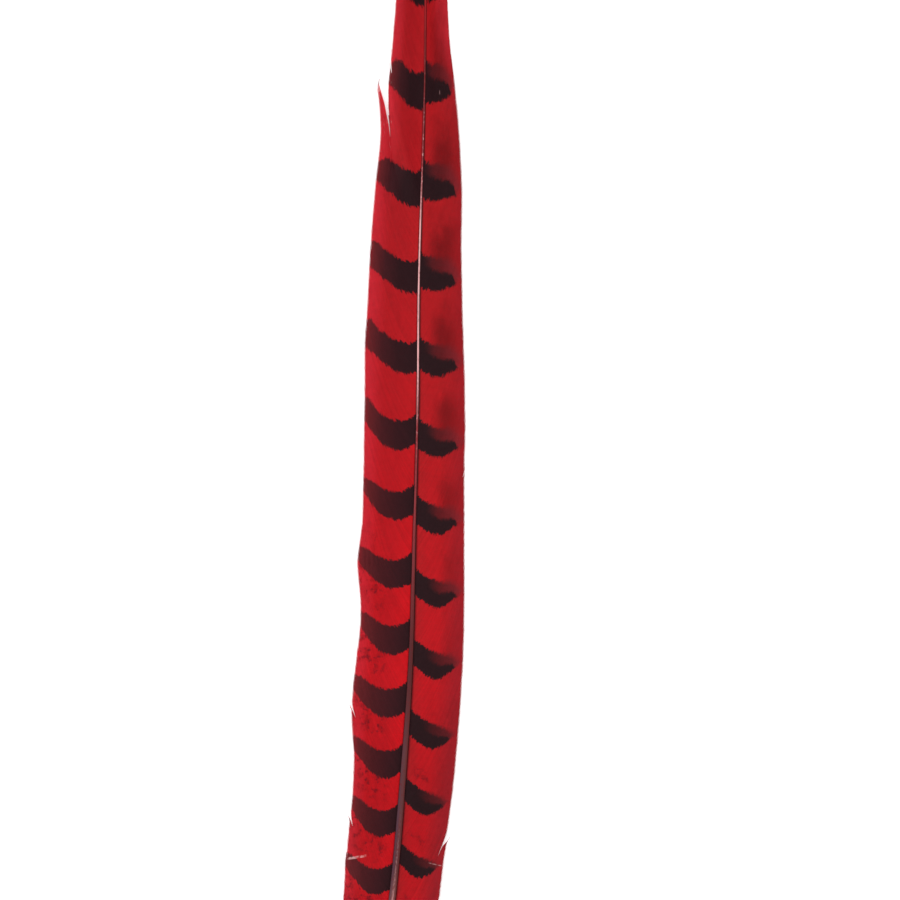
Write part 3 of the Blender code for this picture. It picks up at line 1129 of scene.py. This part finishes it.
def down_guide(side):
    """The sheet that a tuft's strands follow, lying low beside the quill."""
    reach = LEFT_REACH if side == LEFT else RIGHT_REACH
    roots, shares = spread(DOWN_START, DOWN_END, 40), spread(0.0, 1.0, 12)
    points = []
    for root in roots:
        inner = 0.45 * smooth(SHAFT_WIDTH, root)
        height = 0.55 * smooth(SHAFT_HEIGHT, root)
        for across in shares:
            forward = BARB_START * across + (1 - BARB_START) * across**2
            station = root + smooth(BARB_SWEEP, root) * forward
            outward = inner + (smooth(reach, station) - inner) * across
            points.append((
                side_bend(station) + side * outward, station + SHIFT_Y, height + (0.0007 - height) * across
            ))
    places = [(i / (len(roots) - 1), across) for i in range(len(roots)) for across in shares]
    return sheet("down_guide", points, len(shares), places, side)


def down_strands(tree, given):
    """Wavy curves on the guide sheet, with their tone, their column on the map and their way along."""
    ends = {"Start": (0.0, 0.0, 0.0), "End": (1.0, 0.0, 0.0)}
    straight = output(tree, "GeometryNodeCurvePrimitiveLine", ends)
    straight = output(tree, "GeometryNodeResampleCurve", {"Curve": straight, "Count": 20})
    strands = copies(numbered_points(tree, given["Strands"], "strand"), straight)
    strand = named(tree, "strand", "INT")
    tone = drawn(0.0, 1.0, strand, given["Seed"])
    sway = drawn(-1.0, 1.0, strand, given["Seed"] + 1.0)
    long = drawn(0.0, 1.0, strand, given["Seed"] + 2.0)
    x = separated(output(tree, "GeometryNodeInputPosition"))[0]
    root = held((strand + 0.5) / given["Strands"] + sway * x * 0.16, 0.001)
    across = math_node("MAXIMUM", x * (long * 0.35 + 0.64), 0.001)
    ground = on_guide(given["Geometry"], combined(root, across), output(tree, "GeometryNodeInputPosition"))

    # The curl grows along a strand, and the uppermost strands lie flat under the vane
    seat = {"Vector": combined(strand * 3.7, x * 2.2, tone), "Scale": 1.0, "Detail": 1.0}
    curl = vector_node("SUBTRACT", output(tree, "ShaderNodeTexNoise", seat, 1), (0.5, 0.5, 0.30))
    curl = resized(curl, given["Waviness"] * math_node("POWER", x, 0.8))
    curl = vector_node("MULTIPLY", curl, combined(1.0, 1.0, ranged(root, 0.30, 0.65, 1.0, 0.10)))
    for name, value in (("across", x), ("tone", tone), ("column", strand / given["Strands"])):
        strands = stored(strands, name, "FLOAT", "POINT", value)
    return moved(strands, vector_node("ADD", ground, curl))


def down_stems(given, strands, along, corner):
    """The strands as thin tubes that taper."""
    tree = strands.tree
    taper = given["Thickness"] * (along * -0.8 + 1.0)
    thin = output(tree, "GeometryNodeSetCurveRadius", {"Curve": strands, "Radius": taper})
    profile = output(tree, "GeometryNodeCurvePrimitiveCircle", {"Resolution": 3, "Radius": 1.0})
    profile = stored(profile, "corner", "FLOAT", "POINT", corner)
    inputs = {"Curve": thin, "Profile Curve": profile, "Scale": given["Thickness"], "Fill Caps": True}
    return output(tree, "GeometryNodeCurveToMesh", inputs)


def down_barbules(given, strands, along, corner):
    """Fine hairs all along the strands, leaning out every way."""
    tree, seed = strands.tree, given["Seed"]
    inputs = {"Curve": strands, "Length": given["Barbule Spacing"]}
    dotted = node(tree, "GeometryNodeCurveToPoints", inputs, mode="LENGTH").outputs
    number = output(tree, "GeometryNodeInputIndex")
    aim = combined(drawn(0.75, 1.15, number, seed + 3.0), 0.0, drawn(0.0, 6.2832, number, seed))
    aim = output(tree, "FunctionNodeEulerToRotation", (aim,))
    inputs = {"Rotation": Value(tree, dotted["Rotation"]), "Rotate By": aim}
    facing = output(tree, "FunctionNodeRotateRotation", inputs, rotation_space="LOCAL")
    inputs = {"Vertices": 3, "Side Segments": 1, "Radius Top": 0.0, "Radius Bottom": 0.02, "Depth": 1.0}
    hair = output(tree, "GeometryNodeMeshCone", inputs, fill_type="TRIANGLE_FAN")
    hair = stored(hair, "corner", "FLOAT", "POINT", corner)
    tucked = ranged(named(tree, "column"), 0.45, 0.75, 1.0, 0.35)
    size = drawn(0.6, 1.1, number, seed + 4.0) * (along * -0.55 + 1.0) * given["Barbule Length"] * tucked
    return copies(Value(tree, dotted[0]), hair, Rotation=facing, Scale=size)


def down_tree():
    """Grows wavy strands on the guide sheet, with fine barbules all along them."""
    tree, given = new_tree("Down Tuft", (
        ("Strands", "Int"), ("Thickness", "Float"), ("Waviness", "Float"), ("Barbule Spacing", "Float"),
        ("Barbule Length", "Float"), ("Seed", "Int"), ("Finish", "Material"),
    ))
    strands, along = down_strands(tree, given), named(tree, "across")
    corner = output(tree, "GeometryNodeInputIndex") / 3.0
    joined = node(tree, "GeometryNodeJoinGeometry")
    for part in (down_stems(given, strands, along, corner), down_barbules(given, strands, along, corner)):
        tree.links.new(part.socket, joined.inputs[0])

    # Nothing reaches through the surface that the feather lies on
    place = vector_node("MAXIMUM", output(tree, "GeometryNodeInputPosition"), (-10.0, -10.0, 0.00002))
    tuft = moved(Value(tree, joined.outputs[0]), place)

    # Each strand and its barbules have a column of their own on the map
    turned = named(tree, "corner")
    map_x = (named(tree, "column") + (turned * 0.8 + 0.1) / given["Strands"]) * 0.98 + 0.01
    map_y = along * 0.96 + (turned * turned * 0.012 + 0.01)
    end_tree(stored(tuft, "OFBake", "FLOAT2", "CORNER", combined(map_x, map_y)), given["Finish"])
    return tree


def build_down(shape, colours):
    tree, finish = down_tree(), down_material(colours)
    for side, name, seed in ((LEFT, "left_down", 3), (RIGHT, "right_down", 5)):
        made = grow(down_guide(side), tree, {
            "Strands": shape.strands,
            "Thickness": shape.strand_thickness,
            "Waviness": shape.waviness,
            "Barbule Spacing": shape.barbule_spacing,
            "Barbule Length": shape.barbule_length,
            "Seed": seed,
            "Finish": finish,
        }, name + "_tuft")
        attach(made, name)


# ---------------------------------------------------------------- the stage


def build_floor(size, glow):
    mesh = bmesh.new()
    bmesh.ops.create_grid(mesh, x_segments=1, y_segments=1, size=size / 2)
    data = bpy.data.meshes.new("table")
    mesh.to_mesh(data)
    mesh.free()
    material, _, shader, _ = new_material("table_white", 0.1)
    shader.inputs["Base Color"].default_value = (0.93, 0.93, 0.93, 1.0)
    shader.inputs["Roughness"].default_value = 0.9
    shader.inputs["Emission Color"].default_value = (1.0, 1.0, 1.0, 1.0)
    shader.inputs["Emission Strength"].default_value = glow
    data.materials.append(material)
    floor = placed(data)
    floor.location.z = CAD_BOX[0][2] - 0.0002


def build_light(stage):
    world = bpy.data.worlds.new("studio")
    world.use_nodes = True
    world.node_tree.nodes["Background"].inputs["Color"].default_value = (1.0, 1.0, 1.0, 1.0)
    world.node_tree.nodes["Background"].inputs["Strength"].default_value = stage.sky
    bpy.context.scene.world = world
    light = bpy.data.lights.new("key", "AREA")
    light.shape, light.size, light.size_y = "RECTANGLE", 0.9, 0.9
    light.energy = stage.key_power
    lamp = bpy.data.objects.new("key", light)
    lamp.location = (-0.9, 0.5, 1.1)
    lamp.rotation_euler = (-Vector(lamp.location)).to_track_quat("-Z", "Y").to_euler()
    bpy.context.scene.collection.objects.link(lamp)


def build_camera(stage):
    camera = bpy.data.cameras.new("camera")
    camera.lens, camera.sensor_width = stage.lens, 36.0
    camera.clip_start, camera.clip_end = 0.01, 50.0
    made = bpy.data.objects.new("camera", camera)
    distance = stage.view_height * stage.lens / 36.0
    made.location = (side_bend(0.357) + stage.view_aside, SHIFT_Y + stage.view_station, distance + 0.004)
    bpy.context.scene.collection.objects.link(made)
    bpy.context.scene.camera = made
    bpy.context.scene.view_settings.view_transform = "Standard"


# ---------------------------------------------------------------- operators, panel and registration


class FEATHER_OT_shaft(bpy.types.Operator):
    """Builds the horn shaft from the quill to the tip"""

    bl_idname = "feather.shaft"
    bl_label = "Build Shaft"

    def execute(self, context):
        build_shaft(context.scene.feather_shape, context.scene.feather_colours)
        return {"FINISHED"}


class FEATHER_OT_vanes(bpy.types.Operator):
    """Builds both vanes from separate barbs"""

    bl_idname = "feather.vanes"
    bl_label = "Build Vanes"

    def execute(self, context):
        build_vanes(context.scene.feather_shape, context.scene.feather_colours)
        return {"FINISHED"}


class FEATHER_OT_down(bpy.types.Operator):
    """Builds the two tufts of down at the base"""

    bl_idname = "feather.down"
    bl_label = "Build Down"

    def execute(self, context):
        build_down(context.scene.feather_shape, context.scene.feather_colours)
        return {"FINISHED"}


class FEATHER_OT_stage(bpy.types.Operator):
    """Builds the table, the light and the camera"""

    bl_idname = "feather.stage"
    bl_label = "Build Stage"

    def execute(self, context):
        stage = context.scene.feather_stage
        build_floor(stage.floor_size, stage.floor_glow)
        build_light(stage)
        build_camera(stage)
        return {"FINISHED"}


class FEATHER_PT_panel(bpy.types.Panel):
    """Lists the feather's settings and operators"""

    bl_idname = "FEATHER_PT_panel"
    bl_label = "Feather"
    bl_space_type = "VIEW_3D"
    bl_region_type = "UI"
    bl_category = "Feather"

    def draw(self, context):
        scene = context.scene
        for group in (scene.feather_shape, scene.feather_colours, scene.feather_stage):
            box = self.layout.box()
            for name in group.__annotations__:
                box.prop(group, name)
        for operator in (FEATHER_OT_stage, FEATHER_OT_shaft, FEATHER_OT_vanes, FEATHER_OT_down):
            self.layout.operator(operator.bl_idname)


CLASSES = (
    FeatherShape, FeatherColours, StageSettings, FEATHER_OT_shaft, FEATHER_OT_vanes, FEATHER_OT_down,
    FEATHER_OT_stage, FEATHER_PT_panel,
)


def register():
    for each in CLASSES:
        bpy.utils.register_class(each)
    bpy.types.Scene.feather_shape = bpy.props.PointerProperty(type=FeatherShape)
    bpy.types.Scene.feather_colours = bpy.props.PointerProperty(type=FeatherColours)
    bpy.types.Scene.feather_stage = bpy.props.PointerProperty(type=StageSettings)


def unregister():
    del bpy.types.Scene.feather_shape
    del bpy.types.Scene.feather_colours
    del bpy.types.Scene.feather_stage
    for each in reversed(CLASSES):
        bpy.utils.unregister_class(each)


def main():
    register()
    bpy.ops.feather.stage()
    bpy.ops.feather.shaft()
    bpy.ops.feather.vanes()
    bpy.ops.feather.down()


if __name__ == "__main__":
    main()
